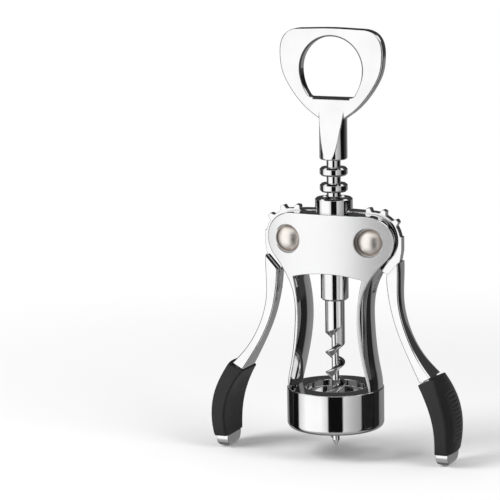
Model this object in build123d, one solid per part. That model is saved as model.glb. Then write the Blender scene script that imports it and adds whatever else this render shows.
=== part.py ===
"""Wing corkscrew: a die-cast frame, two geared levers, an annular rack, a worm and a bottle opener handle.

Millimetres.  +Z is up, the levers spread along X, the front faces -Y.  The origin is the centre of the
ring's bottom face, where the bottle's neck enters.  The levers are modelled partly spread.
"""
from build123d import *
import math
import os

# ---------------------------------------------------------------- driving dimensions
# Ring that sits on the bottle
BOTTLE_LIP_DIAMETER = 29.8
BOTTLE_CLEARANCE = 0.4
RING_WALL = 4.8
RING_HEIGHT = 17.0
RING_SHELF = 3.0
CORK_HOLE_DIAMETER = 25.4
RING_BOTTOM_FILLET = 2.4
RING_MOUTH_CHAMFER = 1.2
RING_TOP_CHAMFER = 0.3

# Rack and gear
RACK_PITCH = 6.65
RACK_RINGS = 6
RACK_RING_THICKNESS = 3.5
RACK_RING_CHAMFER = 0.75
RACK_CORE_DIAMETER = 5.8
RACK_PITCH_RADIUS = 5.14
SPINDLE_DIAMETER = 11.5
BARREL_LENGTH = 15.2
SECTOR_TEETH_PER_TURN = 12
SECTOR_TEETH = 6
MESH_DROP = 2.2
TOOTH_WIDTH = 2.2
TOOTH_TIP_WIDTH = 1.4
TOOTH_TIP_CLEARANCE = 1.4
TOOTH_ROOT_CLEARANCE = 0.35
TOOTH_FOOT = 0.7
SECTOR_THICKNESS = 3.2

# Frame above the ring
PIVOT_Z = 79.0
HEAD_END_RADIUS = 10.95
HEAD_END_INSET = 0.7
HEAD_CROWN = 0.4
FACE_RADIUS = 72.0
FACE_DEPTH = 19.8
POST_FOOT_SETBACK = 0.4
WAIST_RADIUS = 16.6
WAIST_RISE = 26.5
WAIST_FLARE = 0.55
POST_THICKNESS = 5.3
POST_FOOT_THICKNESS = 3.9
POST_BULGE_RADIUS = 22.0
HIP_RISE = 2.7
HIP_FLARE = 2.7
HIP_JOIN_ANGLE = -42.0
ARCH_DROP = 13.5
ARCH_RADIUS = 60.0
SLOT_CLEARANCE = 0.3
SLOT_FLOOR_DROP = 21.5
SLOT_FLOOR_WALL = 2.4
SLOT_TIP_CLEARANCE = 1.2
FRAME_EDGE_FILLET = 0.5

# Pivot rivets
PIVOT_DIAMETER = 5.0
RIVET_HEAD_DIAMETER = 10.5
RIVET_HEAD_RISE = 2.1
RIVET_HEAD_RIM = 0.35
RIVET_RECESS_DIAMETER = 11.8
RIVET_RECESS_DEPTH = 1.6

# Guide collar
COLLAR_DIAMETER = 15.5
COLLAR_HEIGHT = 5.6
COLLAR_SEAT = 0.6
COLLAR_SPIGOT_DIAMETER = 13.2
COLLAR_SPIGOT = 1.0
COLLAR_CHAMFER = 0.6

# Handle with the bottle opener
STEM_LENGTH = 16.5
STEM_END_FILLET = 0.9
STEM_FLAT_TOP = 0.49
STEM_BLEND = 4.0
PLATE_THICKNESS = 4.3
OPENER_HEIGHT = 37.4
OPENER_WIDTH = 45.2
OPENER_SHOULDER_RISE = 27.2
OPENER_TOP_HALF = 13.4
OPENER_NECK_INSET = 0.5
OPENER_FLARE = ((0.43, 0.084), (0.87, 0.4))
OPENER_TOP_DROP = 0.4
OPENER_HOLE_RADIUS = 13.4
OPENER_HOLE_RISE = 20.4
OPENER_LIP_RISE = 9.1
OPENER_LIP_BEVEL = 0.95
OPENER_HOLE_SIDE_RADIUS = 18.2
OPENER_HOLE_CORNER = 1.5
OPENER_RIM_FILLET = 0.8
OPENER_HOLE_FILLET = 0.6

# Rod, worm and worm pin
ROD_DIAMETER = 3.6
ROD_GRIP = 10.0
SHANK_DIAMETER = 8.1
SHANK_SEAT_DEPTH = 14.6
SHANK_BORE_DEPTH = 8.0
WORM_TIP_Z = -9.0
WORM_PITCH = 8.5
WORM_CORE_DIAMETER = 3.0
WORM_CREST = 0.5
WORM_BLADE_RISE = 0.8
WORM_BLADE_DROP = 2.1
WORM_CUT_MARGIN = 0.3
WORM_POINT_LENGTH = 9.0
FLUTE_END_Z = 34.5
FLUTE_END_ANGLE = -28.0
WORM_PIN_DIAMETER = 1.6
WORM_PIN_DROP = 4.0
WORM_PIN_SETBACK = 0.1

# Levers
LEVER_EDGE_RADIUS = 0.7
NECK_REACH = 12.2
NECK_RISE = 2.2
NECK_SIDE_DROP = 3.5
NECK_DROP = 10.5
RIB_RISE = 1.3
RIB_LENGTH = 17.2
RIB_LEAN = 2.6
RIB_CLEARANCE = 0.3
TANG_WIDTH = 9.6
TANG_THICKNESS = 2.4
TANG_ROOT_SHARE = 0.1
TANG_END = 1.3
TIP_WIDTH = 13.6
TIP_THICKNESS = 5.1
TIP_LENGTH = 5.4
TIP_CORNER = 5.0
TIP_EDGE_RADIUS = 2.2

# Sections of the right arm: outer point, inner point, width, crown; points from the pivot as (x, z)
ARM_SECTIONS = (
    ((11.35, -8.2), (6.25, -13.8), 8.4, 0.5),
    ((11.3, -22.0), (7.0, -23.5), 7.3, 0.5),
    ((11.9, -28.0), (8.3, -29.8), 6.9, 0.5),
    ((13.9, -35.4), (10.6, -37.0), 6.8, 0.5),
    ((18.8, -45.6), (15.5, -47.2), 8.6, 0.6),
    ((25.9, -54.3), (21.3, -56.9), 12.6, 0.7),
)

# Sections of the right grip, given in the same way
GRIP_EDGE_RADIUS = 0.8
GRIP_END_FILLET = 0.6
GRIP_SECTIONS = (
    ((27.4, -54.5), (20.9, -57.4), 15.6, 1.0),
    ((31.0, -62.0), (24.9, -63.6), 20.3, 1.7),
    ((33.5, -70.0), (27.6, -70.8), 21.4, 1.8),
    ((34.2, -76.5), (28.6, -76.5), 20.9, 1.7),
    ((33.8, -85.7), (28.2, -85.7), 17.0, 1.2),
)
GRIP_RIBS = 12
GRIP_RIB_PITCH = 1.75
GRIP_FIRST_RIB_DROP = 61.0
GRIP_RIB_LENGTH = 16.5
GRIP_GROOVE_RADIUS = 0.7
GRIP_GROOVE_DEPTH = 0.45

# Inner faces of the posts: height above the ring, depth inside the waist's radius
POST_INNER_LINE = ((9.0, 2.7), (WAIST_RISE, POST_THICKNESS), (39.5, 4.6), (50.5, 2.0))

# Fits, and how far cutting shapes reach past what they cut
RUNNING_CLEARANCE = 0.06
THRUST_CLEARANCE = 0.06
CUT_MARGIN = 1.0

# ---------------------------------------------------------------- derived sizes
RING_BORE_RADIUS = BOTTLE_LIP_DIAMETER / 2 + BOTTLE_CLEARANCE
RING_RADIUS = RING_BORE_RADIUS + RING_WALL

SECTOR_PITCH_RADIUS = SECTOR_TEETH_PER_TURN * RACK_PITCH / (2 * math.pi)
PIVOT_X = RACK_PITCH_RADIUS + SECTOR_PITCH_RADIUS
SECTOR_TIP_RADIUS = PIVOT_X - RACK_CORE_DIAMETER / 2 - TOOTH_TIP_CLEARANCE
SECTOR_ROOT_RADIUS = PIVOT_X - SPINDLE_DIAMETER / 2 - TOOTH_ROOT_CLEARANCE
TOOTH_STEP = 360 / SECTOR_TEETH_PER_TURN
FIRST_TOOTH_ANGLE = 180 + math.degrees(MESH_DROP / SECTOR_PITCH_RADIUS)

RACK_GAP = RACK_PITCH - RACK_RING_THICKNESS
RACK_BOTTOM_RING_Z = PIVOT_Z - MESH_DROP - RACK_PITCH / 2
BARREL_TOP_Z = RACK_BOTTOM_RING_Z - RACK_RING_THICKNESS / 2 - RACK_GAP
BARREL_BOTTOM_Z = BARREL_TOP_Z - BARREL_LENGTH
STEM_BOTTOM_Z = RACK_BOTTOM_RING_Z + (RACK_RINGS - 1) * RACK_PITCH + RACK_RING_THICKNESS / 2 + RACK_GAP
OPENER_Z = STEM_BOTTOM_Z + STEM_LENGTH

HEAD_TOP_Z = PIVOT_Z + HEAD_END_RADIUS + HEAD_CROWN
HEAD_END_X = PIVOT_X - HEAD_END_INSET
HEAD_REACH = HEAD_END_X + HEAD_END_RADIUS
ARCH_Z = PIVOT_Z - ARCH_DROP
WAIST_Z = RING_HEIGHT + WAIST_RISE
SPINDLE_BORE_RADIUS = SPINDLE_DIAMETER / 2 + RUNNING_CLEARANCE
SLOT_WIDTH = SECTOR_THICKNESS + 2 * SLOT_CLEARANCE
FACE_CENTRE_Y = FACE_RADIUS - FACE_DEPTH / 2
RIVET_FLOOR_Y = math.sqrt(FACE_RADIUS ** 2 - PIVOT_X ** 2) - FACE_CENTRE_Y - RIVET_RECESS_DEPTH

SHANK_TOP_Z = BARREL_BOTTOM_Z + SHANK_SEAT_DEPTH - THRUST_CLEARANCE
GRIP_END_DROP = -GRIP_SECTIONS[-1][0][1]


def plane_face(plane, *curves):
    """A face in the plane from curves that close on each other."""
    edges = [edge for curve in curves for edge in curve.edges()]
    return plane * make_face(edges)


def xz_face(*curves):
    """A face in the XZ plane from curves drawn in (x, z)."""
    return plane_face(Plane.XZ, *curves)


def slab(sketch, width):
    """The sketch made solid, as wide as given, half to each side of its plane."""
    return extrude(sketch, amount=width / 2, both=True)


def ring_solid(points):
    """A solid of revolution about Z from straight runs between (radius, z) points."""
    return revolve(Plane.XZ * make_face(Polyline(*points, close=True)), Axis.Z)


def y_cylinder(x, z, radius, y_from, y_to):
    """A cylinder along Y between two depths."""
    place = Location((x, (y_from + y_to) / 2, z), (90, 0, 0))
    return place * Cylinder(radius, abs(y_to - y_from))


# ---------------------------------------------------------------- frame
def frame_ring():
    bottom = Polyline((RING_BORE_RADIUS + RING_MOUTH_CHAMFER, 0), (RING_RADIUS - RING_BOTTOM_FILLET, 0))
    corner = RadiusArc(bottom @ 1, (RING_RADIUS, RING_BOTTOM_FILLET), -RING_BOTTOM_FILLET)
    rest = Polyline(
        corner @ 1,
        (RING_RADIUS, RING_HEIGHT - RING_TOP_CHAMFER),
        (RING_RADIUS - RING_TOP_CHAMFER, RING_HEIGHT),
        (CORK_HOLE_DIAMETER / 2, RING_HEIGHT),
        (CORK_HOLE_DIAMETER / 2, RING_HEIGHT - RING_SHELF),
        (RING_BORE_RADIUS, RING_HEIGHT - RING_SHELF),
        (RING_BORE_RADIUS, RING_MOUTH_CHAMFER),
        bottom @ 0,
    )
    return revolve(xz_face(bottom, corner, rest), Axis.Z)


def on_wide_face(edge):
    """Whether an edge lies in the frame's front or back face."""
    points = [edge @ share for share in (0.1, 0.5, 0.9)]
    depths = [math.sqrt(FACE_RADIUS ** 2 - point.X ** 2) - FACE_CENTRE_Y for point in points]
    return all(abs(abs(point.Y) - depth) < 0.01 for point, depth in zip(points, depths))


def frame_outside():
    """The posts, hips and head as one turned form, cut front and back by two wide curved faces."""
    foot = (RING_RADIUS - POST_FOOT_SETBACK, RING_HEIGHT)
    hip_angle = math.radians(HIP_JOIN_ANGLE)
    join = (
        HEAD_END_X + HEAD_END_RADIUS * math.cos(hip_angle),
        PIVOT_Z + HEAD_END_RADIUS * math.sin(hip_angle),
    )
    hip_z = ARCH_Z - HIP_RISE
    side = Spline(
        foot,
        (WAIST_RADIUS + WAIST_FLARE * (RING_RADIUS - WAIST_RADIUS), RING_HEIGHT + WAIST_RISE / 3),
        (WAIST_RADIUS, WAIST_Z),
        (WAIST_RADIUS + HIP_FLARE, hip_z),
        join,
        tangents=[(0, 1), (-math.sin(hip_angle), math.cos(hip_angle))],
    )
    end = ThreePointArc(join, (HEAD_REACH, PIVOT_Z), (HEAD_END_X, PIVOT_Z + HEAD_END_RADIUS))
    crown = Spline(end @ 1, (0, HEAD_TOP_Z), tangents=[(-1, 0), (-1, 0)])
    core = Polyline(crown @ 1, (0, RING_HEIGHT), foot)
    turned = revolve(xz_face(side, end, crown, core), Axis.Z)
    front = Pos(0, FACE_CENTRE_Y) * Circle(FACE_RADIUS)
    back = Pos(0, -FACE_CENTRE_Y) * Circle(FACE_RADIUS)
    faces = Pos(0, 0, RING_HEIGHT) * extrude(front & back, amount=HEAD_TOP_Z - RING_HEIGHT + CUT_MARGIN)
    outside = turned & faces
    above_ring = [edge for edge in outside.edges() if edge.center().Z > RING_HEIGHT + FRAME_EDGE_FILLET / 2]
    return fillet([edge for edge in above_ring if on_wide_face(edge)], FRAME_EDGE_FILLET)


def post_core(side):
    """What stays of a post on the window's side: its inner face bulges towards the spindle."""
    axis_x = WAIST_RADIUS - POST_THICKNESS + POST_BULGE_RADIUS
    foot = (axis_x - (RING_RADIUS - POST_FOOT_THICKNESS), RING_HEIGHT - CUT_MARGIN)
    line = [(axis_x - (WAIST_RADIUS - depth), RING_HEIGHT + rise) for rise, depth in POST_INNER_LINE]
    inner = Spline(foot, *line)
    rest = Polyline(line[-1], (0, line[-1][1]), (0, foot[1]), foot)
    solid = revolve(xz_face(inner, rest), Axis.Z)
    return Pos(side * axis_x, 0, 0) * solid


def frame_window():
    """The opening between the posts, from the ring's top to the arch."""
    half = RING_RADIUS - POST_FOOT_THICKNESS / 2
    arch_side_z = ARCH_Z - (ARCH_RADIUS - math.sqrt(ARCH_RADIUS ** 2 - half ** 2))
    arch = ThreePointArc((-half, arch_side_z), (0, ARCH_Z), (half, arch_side_z))
    rest = Polyline(arch @ 1, (half, RING_HEIGHT), (-half, RING_HEIGHT), arch @ 0)
    window = slab(xz_face(arch, rest), 2 * RING_RADIUS)
    return window - post_core(1) - post_core(-1)


def frame_slot():
    """Room between the cheeks for the gear sectors, their necks and the ribs of the closed arms."""
    reach = SECTOR_TIP_RADIUS + SLOT_TIP_CLEARANCE
    slot = Pos(0, 0, PIVOT_Z + reach / 2) * Box(2 * PIVOT_X, SLOT_WIDTH, reach)
    wall_x = WAIST_RADIUS - POST_THICKNESS + 2 * SLOT_FLOOR_WALL
    for side in (-1, 1):
        slot += y_cylinder(side * PIVOT_X, PIVOT_Z, reach, -SLOT_WIDTH / 2, SLOT_WIDTH / 2)
        outer = HEAD_REACH + CUT_MARGIN - wall_x
        slot += Pos(side * (wall_x + outer / 2), 0, PIVOT_Z - SLOT_FLOOR_DROP / 2) * Box(
            outer, SLOT_WIDTH, SLOT_FLOOR_DROP
        )
    return slot


def frame():
    body = frame_outside() - frame_window()
    body -= frame_slot()
    bore_length = HEAD_TOP_Z - ARCH_Z + 2 * CUT_MARGIN
    body -= Pos(0, 0, (HEAD_TOP_Z + ARCH_Z) / 2) * Cylinder(SPINDLE_BORE_RADIUS, bore_length)
    seat_z = HEAD_TOP_Z - COLLAR_SEAT
    body -= Pos(0, 0, seat_z + CUT_MARGIN) * Cylinder(COLLAR_DIAMETER / 2, 2 * CUT_MARGIN)
    body -= Pos(0, 0, seat_z - COLLAR_SPIGOT / 2) * Cylinder(COLLAR_SPIGOT_DIAMETER / 2, COLLAR_SPIGOT)
    for side in (-1, 1):
        x = side * PIVOT_X
        body -= y_cylinder(x, PIVOT_Z, PIVOT_DIAMETER / 2, -FACE_DEPTH, FACE_DEPTH)
        body -= y_cylinder(x, PIVOT_Z, RIVET_RECESS_DIAMETER / 2, -FACE_DEPTH, -RIVET_FLOOR_Y)
        body -= y_cylinder(x, PIVOT_Z, RIVET_RECESS_DIAMETER / 2, RIVET_FLOOR_Y, FACE_DEPTH)
    return body + frame_ring()


def guide_collar():
    seat_z = HEAD_TOP_Z - COLLAR_SEAT
    top_z = seat_z + COLLAR_SEAT + COLLAR_HEIGHT
    outer = COLLAR_DIAMETER / 2
    return ring_solid([
        (SPINDLE_BORE_RADIUS, seat_z - COLLAR_SPIGOT),
        (COLLAR_SPIGOT_DIAMETER / 2, seat_z - COLLAR_SPIGOT),
        (COLLAR_SPIGOT_DIAMETER / 2, seat_z),
        (outer, seat_z),
        (outer, top_z - COLLAR_CHAMFER),
        (outer - COLLAR_CHAMFER, top_z),
        (SPINDLE_BORE_RADIUS + COLLAR_CHAMFER, top_z),
        (SPINDLE_BORE_RADIUS, top_z - COLLAR_CHAMFER),
    ])


# ---------------------------------------------------------------- rivets
def rivet_dome():
    """A domed head lying on z = 0, its crown up."""
    radius = RIVET_HEAD_DIAMETER / 2
    rim = Polyline((0, 0), (radius, 0), (radius, RIVET_HEAD_RIM))
    ball = (radius ** 2 + RIVET_HEAD_RISE ** 2) / (2 * RIVET_HEAD_RISE)
    dome = RadiusArc((radius, RIVET_HEAD_RIM), (0, RIVET_HEAD_RIM + RIVET_HEAD_RISE), -ball)
    axis = Line(dome @ 1, (0, 0))
    return revolve(xz_face(rim, dome, axis), Axis.Z)


def pivot_rivet(side):
    """Front head and shank in one piece."""
    head = Location((side * PIVOT_X, -RIVET_FLOOR_Y, PIVOT_Z), (90, 0, 0)) * rivet_dome()
    end = RIVET_FLOOR_Y + RIVET_HEAD_RISE / 2
    return head + y_cylinder(side * PIVOT_X, PIVOT_Z, PIVOT_DIAMETER / 2, -RIVET_FLOOR_Y, end)


def rivet_cap(side):
    """Back head, pressed over the end of the shank."""
    head = Location((side * PIVOT_X, RIVET_FLOOR_Y, PIVOT_Z), (-90, 0, 0)) * rivet_dome()
    end = RIVET_FLOOR_Y + RIVET_HEAD_RISE / 2
    return head - y_cylinder(side * PIVOT_X, PIVOT_Z, PIVOT_DIAMETER / 2, RIVET_FLOOR_Y - CUT_MARGIN, end)


# ---------------------------------------------------------------- levers
def from_pivot(*points):
    """Points given from the right pivot as (x, z), as points in (x, z)."""
    return [(PIVOT_X + x, PIVOT_Z + z) for x, z in points]


def lever_section(outer, inner, width, crown, corner):
    """Cross-section of an arm or grip: flat inside and at the sides, crowned outside, corners rounded."""
    outer_point = Vector(PIVOT_X + outer[0], 0, PIVOT_Z + outer[1])
    inner_point = Vector(PIVOT_X + inner[0], 0, PIVOT_Z + inner[1])
    across = outer_point - inner_point
    half = across.length / 2
    side = width / 2
    crowned = ThreePointArc((half, -side), (half + crown, 0), (half, side))
    rest = Polyline((half, side), (-half, side), (-half, -side), (half, -side))
    face = make_face([edge for curve in (crowned, rest) for edge in curve.edges()])
    face = fillet(face.vertices(), corner)
    place = Plane((outer_point + inner_point) / 2, x_dir=across, z_dir=across.cross(Vector(0, 1, 0)))
    return place * face


def arm():
    return loft([lever_section(*section, LEVER_EDGE_RADIUS) for section in ARM_SECTIONS])


def sector_tooth(angle):
    """One tooth's outline about the right pivot, pointing along the angle in the XZ plane."""
    half = TOOTH_WIDTH / 2
    foot = SECTOR_ROOT_RADIUS - TOOTH_FOOT
    outline = Polyline(
        (foot, half + TOOTH_FOOT),
        (SECTOR_ROOT_RADIUS, half + TOOTH_FOOT / 2),
        (SECTOR_ROOT_RADIUS + TOOTH_FOOT, half),
        (SECTOR_TIP_RADIUS - TOOTH_FOOT, half),
        (SECTOR_TIP_RADIUS, TOOTH_TIP_WIDTH / 2),
        (SECTOR_TIP_RADIUS, -TOOTH_TIP_WIDTH / 2),
        (SECTOR_TIP_RADIUS - TOOTH_FOOT, -half),
        (SECTOR_ROOT_RADIUS + TOOTH_FOOT, -half),
        (SECTOR_ROOT_RADIUS, -half - TOOTH_FOOT / 2),
        (foot, -half - TOOTH_FOOT),
        close=True,
    )
    return Pos(PIVOT_X, PIVOT_Z) * Rot(0, 0, angle) * make_face(outline)


def sector():
    """Gear sector, and the neck that joins it to the arm."""
    flat = Pos(PIVOT_X, PIVOT_Z) * Circle(SECTOR_ROOT_RADIUS)
    for index in range(SECTOR_TEETH):
        flat += sector_tooth(FIRST_TOOTH_ANGLE - index * TOOTH_STEP)
    shoulder_outer, shoulder_inner = ARM_SECTIONS[0][:2]
    neck = from_pivot(
        (0, NECK_RISE),
        (NECK_REACH, NECK_RISE),
        (NECK_REACH, -NECK_SIDE_DROP),
        shoulder_outer,
        shoulder_inner,
        (0, -NECK_DROP),
    )
    flat += make_face(Polyline(*neck, close=True))
    flat -= Pos(PIVOT_X, PIVOT_Z) * Circle(PIVOT_DIAMETER / 2 + RUNNING_CLEARANCE)
    return slab(Plane.XZ * flat, SECTOR_THICKNESS)


def arm_rib():
    """Thin rib on the arm's inner side, which enters the frame's slot when the levers close."""
    rise_x, rise_z = ARM_SECTIONS[0][1]
    lean_x, foot_z = rise_x + RIB_LEAN, rise_z - RIB_LENGTH
    outline = from_pivot(
        (rise_x + RIB_RISE, rise_z + RIB_RISE),
        (rise_x - RIB_RISE / 2, rise_z - RIB_RISE / 2),
        (rise_x - RIB_RISE / 5, rise_z - RIB_LENGTH / 2),
        (lean_x, foot_z),
        (lean_x + RIB_RISE / 2, foot_z),
    )
    flat = make_face(Polyline(*outline, close=True))
    return slab(Plane.XZ * flat, SECTOR_THICKNESS - 2 * RIB_CLEARANCE)


def section_middle(section):
    """Point midway between a section's outer and inner points."""
    outer, inner = section[:2]
    return Vector((outer[0] + inner[0]) / 2, (outer[1] + inner[1]) / 2)


def tang():
    """Flat tang that starts inside the arm, runs through the grip and ends in the tip."""
    above, root = [section_middle(section) for section in ARM_SECTIONS[-2:]]
    inside = root + (above - root) * TANG_ROOT_SHARE
    middles = [inside] + [section_middle(section) for section in GRIP_SECTIONS[1:]]
    end = middles[-1] - Vector(0, TANG_END)
    line = Spline(*from_pivot(*[(point.X, point.Y) for point in middles + [end]]))
    return slab(Plane.XZ * trace(line, TANG_THICKNESS), TANG_WIDTH)


def tip():
    """Metal end of the lever, below the grip."""
    x = PIVOT_X + section_middle(GRIP_SECTIONS[-1]).X
    z = PIVOT_Z - GRIP_END_DROP - TIP_LENGTH / 2
    front = Pos(x, z) * Rectangle(TIP_THICKNESS, TIP_LENGTH)
    front = fillet(front.vertices().group_by(Axis.Y)[0], TIP_EDGE_RADIUS)
    side = Pos(0, z) * Rectangle(TIP_WIDTH, TIP_LENGTH)
    side = fillet(side.vertices().group_by(Axis.Y)[0], TIP_CORNER)
    return slab(Plane.XZ * front, 2 * TIP_WIDTH) & slab(Plane.YZ * side, 6 * PIVOT_X)


def lever():
    """Right lever, cast in one piece."""
    return arm() + sector() + arm_rib() + tang() + tip()


def grip_outer_line():
    """Middle of the grip's outer face."""
    points = []
    for outer, inner, _, crown in GRIP_SECTIONS:
        across = Vector(outer[0] - inner[0], outer[1] - inner[1]).normalized() * crown
        points.append((outer[0] + across.X, outer[1] + across.Y))
    return Spline(*from_pivot(*points))


def grip():
    """Right grip, moulded round the tang, with grooves across its outer face."""
    body = loft([lever_section(*section, GRIP_EDGE_RADIUS) for section in GRIP_SECTIONS])
    ends = body.faces().filter_by(GeomType.PLANE)
    body = fillet(ends.sort_by(Axis.Z)[0].edges() + ends.sort_by(Axis.Z)[-1].edges(), GRIP_END_FILLET)
    line = grip_outer_line()
    for index in range(GRIP_RIBS):
        drop = GRIP_FIRST_RIB_DROP + index * GRIP_RIB_PITCH
        hit = line.intersect(Line(*from_pivot((0, -drop), (60, -drop))))[0]
        x = hit.X + GRIP_GROOVE_RADIUS - GRIP_GROOVE_DEPTH
        end = GRIP_RIB_LENGTH / 2
        body -= y_cylinder(x, PIVOT_Z - drop, GRIP_GROOVE_RADIUS, -end, end)
    return body - tang()


# ---------------------------------------------------------------- rack, rod, worm and handle
def rack_sleeve():
    """Annular rack and barrel in one turned sleeve, bored for the rod and the worm's shank."""
    core = RACK_CORE_DIAMETER / 2
    outer = SPINDLE_DIAMETER / 2
    bore = ROD_DIAMETER / 2 + RUNNING_CLEARANCE
    seat = SHANK_DIAMETER / 2 + RUNNING_CLEARANCE
    cut = RACK_RING_CHAMFER
    roof = BARREL_BOTTOM_Z + SHANK_SEAT_DEPTH
    points = [(bore, roof), (seat, roof), (seat, BARREL_BOTTOM_Z)]
    points += [(outer - cut, BARREL_BOTTOM_Z), (outer, BARREL_BOTTOM_Z + cut)]
    points += [(outer, BARREL_TOP_Z - cut), (outer - cut, BARREL_TOP_Z), (core, BARREL_TOP_Z)]
    for index in range(RACK_RINGS):
        middle = RACK_BOTTOM_RING_Z + index * RACK_PITCH
        low = middle - RACK_RING_THICKNESS / 2
        high = middle + RACK_RING_THICKNESS / 2
        points += [(core, low), (outer - cut, low), (outer, low + cut)]
        points += [(outer, high - cut), (outer - cut, high), (core, high)]
    top = STEM_BOTTOM_Z - THRUST_CLEARANCE
    points += [(core, top), (bore, top)]
    return ring_solid(points)


def spindle_bar():
    """The rod before it is drilled."""
    top = STEM_BOTTOM_Z + ROD_GRIP
    bottom = SHANK_TOP_Z - SHANK_BORE_DEPTH
    return Pos(0, 0, (top + bottom) / 2) * Cylinder(ROD_DIAMETER / 2, top - bottom)


def spindle_rod():
    """Steel rod pressed into the stem; it runs down through the sleeve into the worm's shank."""
    return spindle_bar() - worm_pin()


def worm_pin():
    """Cross pin that locks the worm's shank to the rod."""
    half = SHANK_DIAMETER / 2 - WORM_PIN_SETBACK
    return y_cylinder(0, SHANK_TOP_Z - WORM_PIN_DROP, WORM_PIN_DIAMETER / 2, -half, half)


def worm_flute(length):
    """Helical groove up to z = length that leaves a blade round the core, flat above, sloped below."""
    core = WORM_CORE_DIAMETER / 2
    depth = SHANK_DIAMETER / 2 - core
    reach = depth + WORM_CUT_MARGIN
    low = WORM_BLADE_RISE * (1 - reach / depth)
    high = WORM_PITCH - WORM_CREST - WORM_BLADE_DROP * (1 - reach / depth)
    path = Helix(WORM_PITCH, length, core)
    profile = make_face(Polyline(
        (0, WORM_BLADE_RISE),
        (reach, low),
        (reach, high),
        (0, WORM_PITCH - WORM_CREST - WORM_BLADE_DROP),
        close=True,
    ))
    return sweep(Plane(path @ 0, x_dir=(1, 0, 0), z_dir=(0, -1, 0)) * profile, path, is_frenet=True)


def worm():
    """Shank and worm cut from one bar by a helical flute, ground to a point."""
    radius = SHANK_DIAMETER / 2
    length = SHANK_TOP_Z - WORM_TIP_Z
    flute_length = FLUTE_END_Z - WORM_TIP_Z + 2 * WORM_PITCH
    bar = Pos(0, 0, WORM_TIP_Z + length / 2) * Cylinder(radius, length)
    bar -= Pos(0, 0, FLUTE_END_Z - flute_length) * worm_flute(flute_length)
    bar = Rot(0, 0, FLUTE_END_ANGLE - 360 * flute_length / WORM_PITCH) * bar
    point = ring_solid([
        (0, WORM_TIP_Z),
        (radius + WORM_CUT_MARGIN, WORM_TIP_Z + WORM_POINT_LENGTH),
        (radius + WORM_CUT_MARGIN, SHANK_TOP_Z),
        (0, SHANK_TOP_Z),
    ])
    return (bar & point) - spindle_bar() - worm_pin()


def opener_plate():
    """Flat head of the handle, with the opening that lifts a crown cap."""
    top_z = OPENER_Z + OPENER_HEIGHT
    wide_z = OPENER_Z + OPENER_SHOULDER_RISE
    half = OPENER_WIDTH / 2
    neck = SPINDLE_DIAMETER / 2 - OPENER_NECK_INSET
    side = Spline(
        (neck, OPENER_Z),
        *[(across * half, OPENER_Z + up * OPENER_HEIGHT) for across, up in OPENER_FLARE],
        (half, wide_z),
        tangents=[(0.8, 0.6), (0, 1)],
    )
    corner_z = top_z - OPENER_TOP_DROP
    corner = Spline((half, wide_z), (OPENER_TOP_HALF, corner_z), tangents=[(0, 1), (-1, 0.03)])
    top = Spline(corner @ 1, (0, top_z), tangents=[(-1, 0.03), (-1, 0)])
    half_outline = [side, corner, top]
    mirrored = [mirror(curve, Plane.YZ) for curve in half_outline]
    base = Line((-neck, OPENER_Z), (neck, OPENER_Z))
    plate = slab(xz_face(*half_outline, *mirrored, base), PLATE_THICKNESS)
    rim = plate.edges().filter_by(GeomType.BSPLINE)
    return fillet(rim, OPENER_RIM_FILLET)


def opener_hole():
    """Opening of the bottle opener: round above, narrowing at the sides to a flat lip below."""
    centre_z = OPENER_Z + OPENER_HOLE_RISE
    lip_z = OPENER_Z + OPENER_LIP_RISE
    radius = OPENER_HOLE_RADIUS
    crown = ThreePointArc((-radius, centre_z), (0, centre_z + radius), (radius, centre_z))
    drop = centre_z - lip_z
    bend = OPENER_HOLE_SIDE_RADIUS
    corner_x = radius - bend + math.sqrt(bend ** 2 - drop ** 2)
    right = RadiusArc((radius, centre_z), (corner_x, lip_z), bend)
    left = RadiusArc((-corner_x, lip_z), (-radius, centre_z), bend)
    face = xz_face(crown, right, Line(right @ 1, left @ 0), left)
    face = fillet(face.vertices().group_by(Axis.Z)[0], OPENER_HOLE_CORNER)
    return slab(face, 2 * PLATE_THICKNESS), corner_x


def opener():
    """The holed plate, with the lip under the hole bevelled at the front."""
    hole, corner_x = opener_hole()
    plate = opener_plate() - hole
    lip_z = OPENER_Z + OPENER_LIP_RISE
    holed = plate.faces().filter_by(lambda face: len(face.inner_wires()) == 1)
    rims = [edge for face in holed for edge in face.inner_wires()[0].edges()]
    plate = fillet(rims, OPENER_HOLE_FILLET)
    front = -PLATE_THICKNESS / 2
    bevel = Polyline(
        (front - OPENER_RIM_FILLET, lip_z - OPENER_LIP_BEVEL),
        (front, lip_z - OPENER_LIP_BEVEL),
        (-front / 4, lip_z),
        (-front / 4, lip_z + OPENER_LIP_BEVEL),
        (front - OPENER_RIM_FILLET, lip_z + OPENER_LIP_BEVEL),
        close=True,
    )
    return plate - slab(Plane.YZ * make_face(bevel), 2 * (corner_x - OPENER_HOLE_CORNER))


def stem():
    """Round stem with a flat front and back that run out downwards and blend into the plate above."""
    radius = SPINDLE_DIAMETER / 2
    length = STEM_LENGTH + STEM_BLEND
    bar = Pos(0, 0, STEM_BOTTOM_Z + length / 2) * Cylinder(radius, length)
    bar = fillet(bar.edges().group_by(Axis.Z)[0], STEM_END_FILLET)
    flat = STEM_FLAT_TOP * radius
    flank = Spline(
        (radius, STEM_BOTTOM_Z),
        (flat, OPENER_Z),
        (PLATE_THICKNESS / 2, OPENER_Z + STEM_BLEND),
        tangents=[(flat - radius, STEM_LENGTH), (0, 1)],
    )
    mirrored = mirror(flank, Plane.YZ)
    ends = [Line(flank @ 0, mirrored @ 0), Line(flank @ 1, mirrored @ 1)]
    return bar & slab(plane_face(Plane.YZ, flank, mirrored, *ends), SPINDLE_DIAMETER)


def opener_handle():
    """Stem and bottle opener, cast in one piece."""
    hole = Pos(0, 0, STEM_BOTTOM_Z + ROD_GRIP / 2) * Cylinder(ROD_DIAMETER / 2, ROD_GRIP)
    return stem() + opener() - hole


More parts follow.
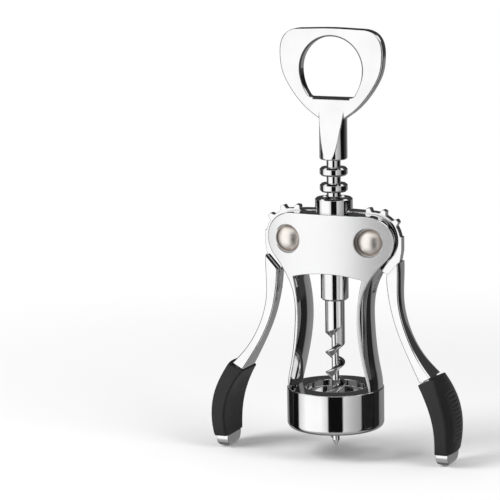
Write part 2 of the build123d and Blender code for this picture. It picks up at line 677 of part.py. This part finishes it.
def main():
    os.makedirs("parts", exist_ok=True)
    pieces = {
        "frame": frame(),
        "guide_collar": guide_collar(),
        "rack_sleeve": rack_sleeve(),
        "spindle_rod": spindle_rod(),
        "worm": worm(),
        "worm_pin": worm_pin(),
        "opener_handle": opener_handle(),
    }
    for side, name in ((-1, "left"), (1, "right")):
        pieces[f"pivot_rivet_{name}"] = pivot_rivet(side)
        pieces[f"rivet_cap_{name}"] = rivet_cap(side)
    right = {"lever": lever(), "grip": grip()}
    for name, piece in right.items():
        pieces[f"{name}_right"] = piece
        pieces[f"{name}_left"] = mirror(piece, Plane.YZ)
    for name, piece in pieces.items():
        export_step(piece, f"parts/{name}.step")


main()
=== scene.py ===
import math

import bpy
from mathutils import Matrix, Vector


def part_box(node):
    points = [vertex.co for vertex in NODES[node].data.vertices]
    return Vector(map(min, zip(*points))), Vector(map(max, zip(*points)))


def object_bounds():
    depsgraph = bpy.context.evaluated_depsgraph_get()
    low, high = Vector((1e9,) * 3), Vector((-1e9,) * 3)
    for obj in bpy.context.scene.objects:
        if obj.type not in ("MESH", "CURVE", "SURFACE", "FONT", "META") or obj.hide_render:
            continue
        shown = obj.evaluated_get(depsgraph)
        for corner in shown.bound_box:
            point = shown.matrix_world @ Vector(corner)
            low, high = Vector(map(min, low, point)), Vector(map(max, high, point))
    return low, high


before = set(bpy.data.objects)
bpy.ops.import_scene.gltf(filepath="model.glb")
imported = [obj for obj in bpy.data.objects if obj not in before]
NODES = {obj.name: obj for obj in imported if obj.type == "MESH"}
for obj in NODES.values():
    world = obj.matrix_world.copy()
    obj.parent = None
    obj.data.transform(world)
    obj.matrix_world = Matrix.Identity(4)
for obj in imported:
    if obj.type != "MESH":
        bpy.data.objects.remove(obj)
CAD_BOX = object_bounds()

# The photograph's camera: the directions it looks from, how far it stands from the target,
# where the target falls in the picture, and the picture's scale there.
IMAGE_SIZE = 500
SENSOR = 36.0
CAMERA_AZIMUTH = math.radians(21.92)
CAMERA_ELEVATION = math.radians(8.93)
CAMERA_ROLL = math.radians(-0.54)
CAMERA_DISTANCE = 1.099
TARGET = Vector((0.0, 0.0, 0.0928))
TARGET_PIXEL = (334.35, 205.52)
PIXELS_PER_METRE = 2441.0

# Places on the object that its materials follow: a rivet's axis and radius, the opener's
# round hole, how far below its middle the lip's foot is, and the top of the ring.
RIVET_LOW, RIVET_HIGH = [Vector(corner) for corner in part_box("rivet_cap_right")]
PIVOT = (RIVET_LOW + RIVET_HIGH) / 2
RIVET_RADIUS = PIVOT.z - RIVET_LOW.z
HOLE_RADIUS = 0.0134
HOLE_DROP = 0.0170
HOLE_MIDDLE = Vector((0.0, 0.0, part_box("opener_handle")[1][2] - HOLE_DROP))
LIP_DROP = 0.0114
RING_TOP_Z = 0.017

# The floor, which fades to white between two distances from the object, and the lights:
# where each lamp stands, and its watts.
FLOOR_Z = CAD_BOX[0][2] - 0.0001
FLOOR_RADIUS = 3.0
FLOOR_FADE = (0.12, 0.40)
FLOOR_GREY = 0.9
WORLD_LIGHT = 0.55
LAMP_SIZE = 0.5
LAMPS = {"key_light": ((-0.55, -0.55, 0.75), 6.5), "fill_light": ((0.75, -0.25, 0.65), 3.5)}

# The light tent round the object. Its wall's brightness is a list of degrees from the
# camera's direction, left of it negative, each with the grey level there.
TENT_RADIUS = 0.60
TENT_CENTRE = Vector((0.0, 0.0, 0.085))
WHITE = 1.22
BLACK = 0.006
TENT_WALL = [
    (-200.0, 0.27), (-136.0, 0.26), (-134.0, BLACK), (-132.5, BLACK), (-131.5, 0.55),
    (-129.5, 0.55), (-128.5, BLACK), (-99.0, BLACK), (-95.0, 0.80), (-74.0, WHITE),
    (-36.0, WHITE), (-20.0, 0.88), (-17.0, BLACK), (15.0, BLACK), (18.0, 0.80), (38.0, 0.58),
    (60.0, 0.42), (64.0, BLACK), (99.0, BLACK), (103.0, 0.02), (121.0, 0.02), (127.0, 0.23),
    (155.0, 0.27),
]

# Degrees above the horizon where the wall ends in a white band, where that band ends in
# the dark hole overhead, and where the wall ends in the ground below.
TENT_ROOF = (28.0, 36.0)
TENT_HOLE = (54.0, 60.0)
TENT_GROUND = (-36.0, -56.0)
GROUND_GREY = 0.42

# The ground is darker from so many degrees round to either side.
TENT_SHADE = (85.0, 115.0)
SHADE_GREY = 0.14

# Dark cards at either side and behind, from so many degrees round and so high up.
TENT_SIDE = (95.0, 101.0)
TENT_SIDE_RISE = (-8.0, -4.0)
TENT_BACK = (118.0, 126.0)
TENT_BACK_RISE = (-2.0, 1.0)
CARD_GREY = 0.05

# Lumps a metre of the noises that mark the surfaces.
SMUDGES = 90.0
SCRATCHES = 900.0
CASTING_WAVES = 45.0
SATIN_LINES = 1500.0
METAL_CLOUDS = 150.0
PLASTIC_CLOUDS = 160.0
MOULD_GRAIN = 3500.0

# How far a softened edge reaches in from the true one.
SHARP_EDGE = 0.0004
ROUND_EDGE = 0.0006
PLASTIC_EDGE = 0.0005

# Bands of painted shade round the opener's hole and round a rivet: how far outside its edge
# the tone comes, and how far outside it goes again. The hole's band fades out at the lip's foot.
RIM_COMES, RIM_GOES = (0.0, 0.0001), (0.0005, 0.0008)
GROOVE_COMES, GROOVE_GOES = (-0.0004, 0.0), (0.0003, 0.0006)
LIP_FADE = 0.0003

# A face of the frame is satin when its normal has this much of the Y axis and it is this
# far above the ring.
WIDE_FACING = (0.86, 0.91)
ABOVE_RING = (0.0005, 0.0015)

# The metal: how rough polished and satin plate is, how metallic satin plate is, and the
# tones of both, and of the painted shade along edges, round the opener's rim, in the
# groove round a rivet and on the rivet's own rim.
POLISHED = 0.03
SATIN = 0.36
SATIN_METALLIC = 0.62
PLATE_TONES = (0.80, 0.80, 0.805, 1.0), (0.75, 0.75, 0.755, 1.0)
SATIN_TONE = (0.82, 0.82, 0.825, 1.0)
EDGE_SHADE_TONE = (0.35, 0.35, 0.355, 1.0)
RIM_SHADE_TONE = (0.15, 0.15, 0.155, 1.0)
GROOVE_SHADE_TONE = (0.48, 0.44, 0.41, 1.0)
RIVET_RIM_SHADE_TONE = (0.42, 0.35, 0.30, 1.0)

# Tones of the black plastic, and of the painted highlight along its edges.
PLASTIC_TONES = (0.014, 0.014, 0.0145, 1.0), (0.020, 0.020, 0.0205, 1.0)
EDGE_HIGHLIGHT_TONE = (0.075, 0.075, 0.076, 1.0)


def grey(level):
    return (level, level, level, 1.0)


def radians(reach):
    return [math.radians(end) for end in reach]


def shifted(start, reach):
    """A reach that is counted from start, as plain places."""
    return [start + end for end in reach]


def place_camera():
    """The photograph's view, turned so that the object falls where it does in the picture."""
    a, e = CAMERA_AZIMUTH, CAMERA_ELEVATION
    right = Vector((math.cos(a), math.sin(a), 0.0))
    up = Vector((-math.sin(a) * math.sin(e), math.cos(a) * math.sin(e), math.cos(e)))
    ahead = Vector((-math.sin(a) * math.cos(e), math.cos(a) * math.cos(e), -math.sin(e)))
    focal_pixels = PIXELS_PER_METRE * CAMERA_DISTANCE
    axis = ahead * focal_pixels
    axis -= right * (TARGET_PIXEL[0] - IMAGE_SIZE / 2)
    axis += up * (TARGET_PIXEL[1] - IMAGE_SIZE / 2)
    axis.normalize()
    side = (right - axis * right.dot(axis)).normalized()
    side.rotate(Matrix.Rotation(-CAMERA_ROLL, 3, axis))
    top = side.cross(axis)
    turn = Matrix((side, top, -axis)).transposed()
    data = bpy.data.cameras.new("camera")
    data.sensor_width = SENSOR
    data.lens = focal_pixels * SENSOR / IMAGE_SIZE
    camera = bpy.data.objects.new("camera", data)
    bpy.context.scene.collection.objects.link(camera)
    camera.matrix_world = Matrix.Translation(TARGET - ahead * CAMERA_DISTANCE) @ turn.to_4x4()
    bpy.context.scene.camera = camera


class Nodes:
    """A node tree that is written one node a line."""

    def __init__(self, tree):
        self.tree = tree
        tree.nodes.clear()

    def add(self, kind, inputs=None, **settings):
        made = self.tree.nodes.new(kind)
        for name, value in settings.items():
            setattr(made, name, value)
        for name, value in (inputs or {}).items():
            self.put(made.inputs[name], value)
        return made

    def put(self, socket, value):
        if isinstance(value, bpy.types.NodeSocket):
            self.tree.links.new(value, socket)
        else:
            socket.default_value = value

    def maths(self, operation, *values):
        return self.add("ShaderNodeMath", dict(enumerate(values)), operation=operation).outputs[0]

    def step(self, value, low, high, at_low=0.0, at_high=1.0):
        """value from low to high, eased to run from at_low to at_high."""
        sockets = {"Value": value, "From Min": low, "From Max": high,
                   "To Min": at_low, "To Max": at_high}
        return self.add("ShaderNodeMapRange", sockets, interpolation_type="SMOOTHSTEP").outputs[0]

    def band(self, value, start, comes, goes):
        """1 within a band and 0 outside; comes and goes are reaches counted from start."""
        return self.maths("MULTIPLY", self.step(value, *shifted(start, comes)),
                          self.step(value, *shifted(start, goes), 1.0, 0.0))

    def noise(self, vector, scale, detail=2.0, stretch=(1.0, 1.0, 1.0)):
        """Soft noise; scale is in lumps a metre, and stretch squeezes it along each axis."""
        moved = self.add("ShaderNodeMapping", {"Vector": vector, "Scale": stretch}).outputs[0]
        sockets = {"Vector": moved, "Scale": scale, "Detail": detail}
        return self.add("ShaderNodeTexNoise", sockets).outputs["Fac"]

    def blend(self, factor, first, second):
        made = self.add("ShaderNodeMix", data_type="RGBA")
        for index, value in ((0, factor), (6, first), (7, second)):
            self.put(made.inputs[index], value)
        return made.outputs[2]

    def ramp(self, value, stops):
        """A grey for a value from 0 to 1; stops are (place from 0 to 1, grey level)."""
        made = self.add("ShaderNodeValToRGB", {"Fac": value})
        elements = made.color_ramp.elements
        while len(elements) < len(stops):
            elements.new(0.5)
        for element, (place, level) in zip(elements, sorted(stops)):
            element.position = place
        for element, (place, level) in zip(elements, sorted(stops)):
            element.color = grey(level)
        return made.outputs["Color"]


def material(name):
    made = bpy.data.materials.new(name)
    made.use_nodes = True
    return made, Nodes(made.node_tree)


def finish_material(nodes, shader):
    nodes.add("ShaderNodeOutputMaterial", {"Surface": shader})


def from_axes(n, place, centre):
    """Distance from the nearer of two axes along Y: one through centre and its mirror image."""
    x, _, z = n.add("ShaderNodeSeparateXYZ", {0: place}).outputs
    across = n.maths("SUBTRACT", n.maths("ABSOLUTE", x), centre.x)
    up = n.maths("SUBTRACT", z, centre.z)
    return n.maths("SQRT", n.maths("ADD", n.maths("POWER", across, 2.0), n.maths("POWER", up, 2.0)))


def plated(n, place):
    """Roughness, colour and height of polished chrome plate.

    It has smudges, hair scratches and faint casting waves.
    """
    smudge = n.noise(place, SMUDGES, 3.0)
    scratch = n.noise(place, SCRATCHES, 2.0, (1.0, 1.0, 0.06))
    dull = n.step(smudge, 0.35, 0.75, POLISHED, POLISHED + 0.05)
    colour = n.blend(n.step(smudge, 0.3, 0.8), *PLATE_TONES)
    height = n.maths("ADD", n.noise(place, CASTING_WAVES, 0.0), n.maths("MULTIPLY", scratch, 0.02))
    return dull, colour, height


def edges(n, reach):
    """The normal softened near edges, and how much of an edge a place is, from 0 to 1."""
    soft = n.add("ShaderNodeBevel", {"Radius": reach}, samples=8).outputs[0]
    flat = n.add("ShaderNodeNewGeometry").outputs["Normal"]
    alike = n.add("ShaderNodeVectorMath", {0: soft, 1: flat}, operation="DOT_PRODUCT")
    return soft, n.step(alike.outputs["Value"], 0.90, 0.99, 1.0, 0.0)


def bumped(n, height, soft):
    """The softened normal, with the plate's faint unevenness."""
    return n.add("ShaderNodeBump", {
        "Height": height, "Strength": 0.02, "Distance": 0.0004, "Normal": soft}).outputs[0]


def chrome(name, reach=SHARP_EDGE, rim=None):
    """Polished chrome plate, with painted shade along its edges, as far as reach, and round a hole.

    rim is the hole's middle and radius, and how far below its middle the painted dark rim starts.
    """
    made, n = material(name)
    place = n.add("ShaderNodeTexCoord").outputs["Object"]
    dull, colour, height = plated(n, place)
    soft, edge = edges(n, reach)
    # Painted shade darkens the chrome along its edges.
    colour = n.blend(edge, colour, EDGE_SHADE_TONE)
    if rim:
        centre, radius, drop = rim
        away = from_axes(n, place, centre)
        up = n.add("ShaderNodeSeparateXYZ", {0: place}).outputs[2]
        # A band of painted shade round the hole's rim, fading out at the lip's foot.
        hole_rim_shade = n.band(away, radius, RIM_COMES, RIM_GOES)
        foot = centre.z - drop
        hole_rim_shade = n.maths("MULTIPLY", hole_rim_shade, n.step(up, foot, foot + LIP_FADE))
        colour = n.blend(hole_rim_shade, colour, RIM_SHADE_TONE)
    shader = n.add("ShaderNodeBsdfPrincipled", {
        "Base Color": colour, "Metallic": 1.0, "Roughness": dull,
        "Normal": bumped(n, height, soft)})
    finish_material(n, shader.outputs[0])
    return made


def frame_chrome(name):
    """Polished chrome plate, but satin on the wide front and back faces above the ring."""
    made, n = material(name)
    coordinates = n.add("ShaderNodeTexCoord").outputs
    place = coordinates["Object"]
    dull, colour, height = plated(n, place)
    facing = n.add("ShaderNodeSeparateXYZ", {0: coordinates["Normal"]}).outputs[1]
    rise = n.add("ShaderNodeSeparateXYZ", {0: place}).outputs[2]
    wide = n.step(n.maths("ABSOLUTE", facing), *WIDE_FACING)
    above = n.step(rise, *shifted(RING_TOP_Z, ABOVE_RING))
    satin_part = n.maths("MULTIPLY", wide, above)
    lines = n.noise(place, SATIN_LINES, 3.0, (0.05, 1.0, 1.0))
    rough = n.step(lines, 0.3, 0.7, SATIN - 0.03, SATIN + 0.03)
    dull = n.add("ShaderNodeMix", {0: satin_part, 2: dull, 3: rough}).outputs[0]
    colour = n.blend(satin_part, colour, SATIN_TONE)
    # Painted shade in the groove round each rivet.
    groove_shade = n.band(from_axes(n, place, PIVOT), RIVET_RADIUS, GROOVE_COMES, GROOVE_GOES)
    colour = n.blend(groove_shade, colour, GROOVE_SHADE_TONE)
    metallic = n.step(satin_part, 0.0, 1.0, 1.0, SATIN_METALLIC)
    soft, edge = edges(n, ROUND_EDGE)
    # Painted shade darkens the chrome along its edges.
    colour = n.blend(edge, colour, EDGE_SHADE_TONE)
    shader = n.add("ShaderNodeBsdfPrincipled", {
        "Base Color": colour, "Metallic": metallic, "Roughness": dull,
        "Normal": bumped(n, height, soft)})
    finish_material(n, shader.outputs[0])
    return made


def satin(name, tint, roughness, grain, stretch, painted_rim_shade=False):
    """Nickel or drawn steel: a satin surface with grain along one way; a rivet's rim gets painted
    shade.
    """
    made, n = material(name)
    place = n.add("ShaderNodeTexCoord").outputs["Object"]
    lines = n.noise(place, grain, 3.0, stretch)
    cloud = n.noise(place, METAL_CLOUDS, 2.0)
    dull = n.step(lines, 0.3, 0.7, roughness - 0.03, roughness + 0.04)
    colour = n.blend(cloud, tuple(tint) + (1.0,), tuple(0.93 * c for c in tint) + (1.0,))
    if painted_rim_shade:
        # Painted shade darkens the rivet towards its rim.
        rim = n.step(from_axes(n, place, PIVOT), 0.66 * RIVET_RADIUS, 1.05 * RIVET_RADIUS)
        colour = n.blend(rim, colour, RIVET_RIM_SHADE_TONE)
    bump = n.add("ShaderNodeBump", {"Height": lines, "Strength": 0.04, "Distance": 0.00005})
    shader = n.add("ShaderNodeBsdfPrincipled", {
        "Base Color": colour, "Metallic": 1.0, "Roughness": dull, "Normal": bump.outputs[0]})
    finish_material(n, shader.outputs[0])
    return made


def plastic(name):
    """Matt black plastic with a fine moulded grain, and a painted highlight along its edges and
    ribs.
    """
    made, n = material(name)
    place = n.add("ShaderNodeTexCoord").outputs["Object"]
    grain = n.noise(place, MOULD_GRAIN, 2.0)
    cloud = n.noise(place, PLASTIC_CLOUDS, 3.0)
    soft, edge = edges(n, PLASTIC_EDGE)
    colour = n.blend(cloud, *PLASTIC_TONES)
    # A painted highlight along the edges and ribs.
    colour = n.blend(edge, colour, EDGE_HIGHLIGHT_TONE)
    dull = n.step(cloud, 0.3, 0.7, 0.34, 0.42)
    bump = n.add("ShaderNodeBump", {
        "Height": grain, "Strength": 0.15, "Distance": 0.00006, "Normal": soft})
    shader = n.add("ShaderNodeBsdfPrincipled", {
        "Base Color": colour, "Roughness": dull, "Specular IOR Level": 0.26,
        "Normal": bump.outputs[0]})
    finish_material(n, shader.outputs[0])
    return made


def dress():
    """A procedural material for each node's slot."""
    finishes = {
        "frame_chrome": frame_chrome("frame_chrome_plate"),
        "collar_chrome": chrome("collar_chrome_plate"),
        "spindle_chrome": chrome("spindle_chrome_plate"),
        "worm_chrome": chrome("worm_chrome_plate"),
        "handle_chrome": chrome("handle_chrome_plate", reach=ROUND_EDGE,
                                rim=(HOLE_MIDDLE, HOLE_RADIUS, LIP_DROP)),
        "lever_chrome": chrome("lever_chrome_plate"),
        "rivet_nickel": satin("rivet_satin_nickel", (0.90, 0.85, 0.80), SATIN, SATIN_LINES,
                              (1.0, 1.0, 1.0), painted_rim_shade=True),
        "rod_steel": satin("rod_drawn_steel", (0.62, 0.62, 0.63), 0.22, 2500.0, (1.0, 1.0, 0.05)),
        "grip_plastic": plastic("grip_black_plastic"),
    }
    for piece in NODES.values():
        for slot in piece.material_slots:
            slot.material = finishes[slot.material.name.split(".")[0]]


def only_seen_by(piece, camera=False, diffuse=False, glossy=False, transmission=False,
                 shadow=False):
    """Which rays meet the piece; scattered light in a volume never does."""
    piece.visible_camera = camera
    piece.visible_diffuse = diffuse
    piece.visible_glossy = glossy
    piece.visible_transmission = transmission
    piece.visible_volume_scatter = False
    piece.visible_shadow = shadow


def make_tent():
    """The white and black cards round the object, which only reflections show."""
    bpy.ops.mesh.primitive_uv_sphere_add(
        segments=96, ring_count=48, radius=TENT_RADIUS, location=TENT_CENTRE)
    tent = bpy.context.object
    tent.name = "light_tent"
    tent.data.shade_smooth()
    made, n = material("light_tent_cards")
    made.cycles.emission_sampling = "NONE"
    place = n.add("ShaderNodeTexCoord").outputs["Object"]
    axes = n.add("ShaderNodeSeparateXYZ", {0: place}).outputs
    turn = n.maths("ARCTAN2", axes[0], n.maths("MULTIPLY", axes[1], -1.0))
    part = n.maths("ADD", n.maths("DIVIDE", turn, 2 * math.pi), 0.5)
    camera_place = CAMERA_AZIMUTH / (2 * math.pi) + 0.5
    stops = [(min(max(angle / 360.0 + camera_place, 0.0), 1.0), level)
             for angle, level in TENT_WALL]
    wall = n.ramp(part, stops)
    lift = n.maths("ARCSINE", n.maths("DIVIDE", axes[2], TENT_RADIUS))
    roof, hole, ground, raised = [n.step(lift, *radians(reach))
                                  for reach in (TENT_ROOF, TENT_HOLE, TENT_GROUND, TENT_BACK_RISE)]
    aside = n.maths("ABSOLUTE", n.maths("SUBTRACT", turn, CAMERA_AZIMUTH))
    aside = n.maths("MINIMUM", aside, n.maths("SUBTRACT", 2 * math.pi, aside))
    behind = n.step(aside, *radians(TENT_BACK))
    beside = n.maths("MULTIPLY", n.step(aside, *radians(TENT_SIDE)),
                     n.step(lift, *radians(TENT_SIDE_RISE)))
    beside = n.maths("MULTIPLY", beside, n.maths("SUBTRACT", 1.0, behind))
    wall = n.blend(beside, wall, grey(CARD_GREY))
    colour = n.blend(roof, wall, grey(WHITE))
    colour = n.blend(n.maths("MULTIPLY", behind, raised), colour, grey(CARD_GREY))
    colour = n.blend(hole, colour, grey(BLACK))
    below = n.blend(n.step(aside, *radians(TENT_SHADE)), grey(GROUND_GREY), grey(SHADE_GREY))
    colour = n.blend(ground, colour, below)
    glow = n.add("ShaderNodeEmission", {"Color": colour, "Strength": 1.0})
    finish_material(n, glow.outputs[0])
    tent.data.materials.append(made)
    only_seen_by(tent, glossy=True)


def make_floor():
    """A pale floor that fades into the white backdrop away from the object."""
    bpy.ops.mesh.primitive_circle_add(
        vertices=96, radius=FLOOR_RADIUS, fill_type="NGON", location=(0, 0, FLOOR_Z))
    floor = bpy.context.object
    floor.name = "floor"
    made, n = material("floor_paper")
    place = n.add("ShaderNodeTexCoord").outputs["Object"]
    away = n.add("ShaderNodeVectorMath", {0: place}, operation="LENGTH").outputs["Value"]
    paper = n.add("ShaderNodeBsdfDiffuse", {"Color": grey(FLOOR_GREY)})
    light = n.add("ShaderNodeEmission", {"Color": grey(1.0), "Strength": 1.0})
    far = n.step(away, *FLOOR_FADE)
    mix = n.add("ShaderNodeMixShader", {0: far, 1: paper.outputs[0], 2: light.outputs[0]})
    finish_material(n, mix.outputs[0])
    floor.data.materials.append(made)
    only_seen_by(floor, camera=True, diffuse=True, transmission=True, shadow=True)


def make_world():
    """White behind the object, and a soft even light on it."""
    world = bpy.data.worlds.new("studio")
    bpy.context.scene.world = world
    world.use_nodes = True
    n = Nodes(world.node_tree)
    path = n.add("ShaderNodeLightPath").outputs
    shown = n.maths("MAXIMUM", path["Is Camera Ray"], path["Is Glossy Ray"])
    shown = n.maths("MAXIMUM", shown, path["Is Transmission Ray"])
    strength = n.step(shown, 0.0, 1.0, WORLD_LIGHT, 1.0)
    back = n.add("ShaderNodeBackground", {"Color": grey(1.0), "Strength": strength})
    n.add("ShaderNodeOutputWorld", {"Surface": back.outputs[0]})


def make_lamp(name, place, watts):
    """A square soft light that faces the object."""
    data = bpy.data.lights.new(name, "AREA")
    data.size = LAMP_SIZE
    data.energy = watts
    lamp = bpy.data.objects.new(name, data)
    bpy.context.scene.collection.objects.link(lamp)
    lamp.location = place
    lamp.visible_glossy = False
    lamp.rotation_euler = (TARGET - Vector(place)).to_track_quat("-Z", "Y").to_euler()


place_camera()
dress()
# The photograph's posts mirror plain cards, not the spindle beside them.
for part in ("rack_sleeve", "worm"):
    NODES[part].visible_glossy = False
make_tent()
make_floor()
make_world()
for name, (place, watts) in LAMPS.items():
    make_lamp(name, place, watts)
bpy.context.scene.view_settings.view_transform = "Standard"

bpy.context.view_layer.update()
